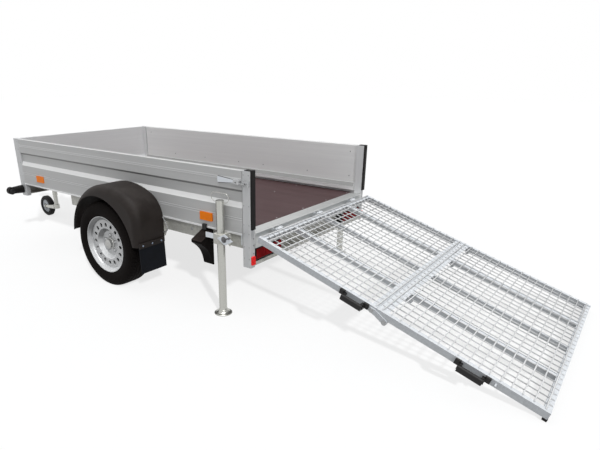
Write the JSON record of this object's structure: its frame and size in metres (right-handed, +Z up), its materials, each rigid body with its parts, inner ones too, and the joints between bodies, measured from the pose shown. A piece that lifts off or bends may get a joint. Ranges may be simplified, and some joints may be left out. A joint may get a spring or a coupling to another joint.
{
  "type": "utility trailer",
  "caption": "Single-axle utility trailer with low aluminium walls, plywood floor, prop legs, jockey wheel and a folding mesh ramp let down at the rear.",
  "frame": {"origin": "middle of the bounding box, on the ground under the trailer", "axes": "+X forward towards the tow coupling, +Y the near side of the picture, +Z up"},
  "size_m": [5.2249, 1.81, 0.889],
  "materials": {
    "wall_aluminium": "anodised, satin",
    "post_aluminium": "anodised, satin",
    "sill_aluminium": "mill finish",
    "plywood": "phenolic film, fine mesh print",
    "galvanised_frame": "hot-dip galvanised, spangled",
    "galvanised_ramp": "hot-dip galvanised, bright",
    "galvanised_mesh": "hot-dip galvanised wire",
    "zinc_tube": "zinc plated",
    "tyre_rubber": "dry rubber",
    "black_rubber": "matt rubber",
    "silver_paint": "silver lacquer",
    "drum_iron": "bright zinc cap, dull drum",
    "black_plastic": "moulded, fine texture",
    "lamp_red": "clear lens over black housing",
    "reflector_red": "prismatic",
    "reflector_orange": "prismatic",
    "coupling_paint": "zinc and grey lacquer"
  },
  "bodies": {
    "root": {"side_wall_left": "wall_aluminium", "side_wall_right": "wall_aluminium", "front_wall": "wall_aluminium", "front_posts": "post_aluminium", "rear_posts": "post_aluminium", "rear_sill": "sill_aluminium", "floor_panel": "plywood", "side_member_left": "galvanised_frame", "side_member_right": "galvanised_frame", "cross_members": "galvanised_frame", "front_cross_member": "galvanised_frame", "lamp_carrier": "galvanised_frame", "axle_beam": "galvanised_frame", "swing_arms": "galvanised_frame", "drawbar_left": "galvanised_frame", "drawbar_right": "galvanised_frame", "guard_brackets": "galvanised_frame", "hinge_brackets": "galvanised_frame", "prop_clamps": "galvanised_frame", "jockey_clamp": "galvanised_frame", "latches": "galvanised_frame", "tie_downs": "galvanised_frame", "brake_rod": "galvanised_frame", "jockey_tube": "zinc_tube", "post_seals": "black_rubber", "bellows": "black_rubber", "mud_flaps": "black_rubber", "mudguard_left": "black_plastic", "mudguard_right": "black_plastic", "wheel_chocks": "black_plastic", "position_lamps": "black_plastic", "tail_lamps": "lamp_red", "rear_reflectors": "reflector_red", "side_reflectors": "reflector_orange", "overrun_device": "coupling_paint", "coupling_head": "coupling_paint", "handbrake_lever": "coupling_paint"},
    "wheel_left": {"tyre_left": "tyre_rubber", "rim_left": "silver_paint", "brake_drum_left": "drum_iron"},
    "wheel_right": {"tyre_right": "tyre_rubber", "rim_right": "silver_paint", "brake_drum_right": "drum_iron"},
    "prop_left": {"prop_leg_left": "zinc_tube"},
    "prop_right": {"prop_leg_right": "zinc_tube"},
    "jockey_leg": {"jockey_leg": "zinc_tube"},
    "jockey_fork": {"jockey_fork": "zinc_tube"},
    "jockey_wheel": {"jockey_wheel": "black_rubber"},
    "ramp_inner": {"ramp_inner_long_bars": "galvanised_ramp", "ramp_inner_end_bars": "galvanised_ramp", "ramp_inner_long_wires": "galvanised_mesh", "ramp_inner_cross_wires": "galvanised_mesh", "ramp_fold_arms": "galvanised_ramp", "ramp_inner_handle": "black_plastic"},
    "ramp_outer": {"ramp_outer_long_bars": "galvanised_ramp", "ramp_outer_end_bars": "galvanised_ramp", "ramp_outer_long_wires": "galvanised_mesh", "ramp_outer_cross_wires": "galvanised_mesh", "ramp_end_caps": "black_rubber", "ramp_outer_handle": "black_plastic"}
  },
  "joints": [
    {"name": "wheel_left_spin", "type": "hinge", "parent": "root", "child": "wheel_left", "pos_m": [0.10316, 0.795, 0.296], "axis": [0, 1, 0], "continuous": true},
    {"name": "wheel_right_spin", "type": "hinge", "parent": "root", "child": "wheel_right", "pos_m": [0.10316, -0.795, 0.296], "axis": [0, 1, 0], "continuous": true},
    {"name": "prop_left_slide", "type": "slide", "parent": "root", "child": "prop_left", "axis": [0, 0, 1], "range_m": [-0.1, 0.33]},
    {"name": "prop_right_slide", "type": "slide", "parent": "root", "child": "prop_right", "axis": [0, 0, 1], "range_m": [-0.1, 0.33]},
    {"name": "jockey_slide", "type": "slide", "parent": "root", "child": "jockey_leg", "axis": [0, 0, 1], "range_m": [-0.1, 0.085]},
    {"name": "jockey_swivel", "type": "hinge", "parent": "jockey_leg", "child": "jockey_fork", "pos_m": [2.01816, 0.101, 0.128], "axis": [0, 0, 1], "continuous": true},
    {"name": "jockey_spin", "type": "hinge", "parent": "jockey_fork", "child": "jockey_wheel", "pos_m": [2.18816, 0.101, 0.102], "axis": [0, 1, 0], "continuous": true},
    {"name": "ramp_lift", "type": "hinge", "parent": "root", "child": "ramp_inner", "pos_m": [-1.04384, 0, 0.51761], "axis": [0, 1, 0], "range_deg": [0, 107.03]},
    {"name": "ramp_fold", "type": "hinge", "parent": "ramp_inner", "child": "ramp_outer", "pos_m": [-1.84507, 0, 0.23454], "axis": [0, -1, 0], "range_deg": [0, 180]}
  ]
}
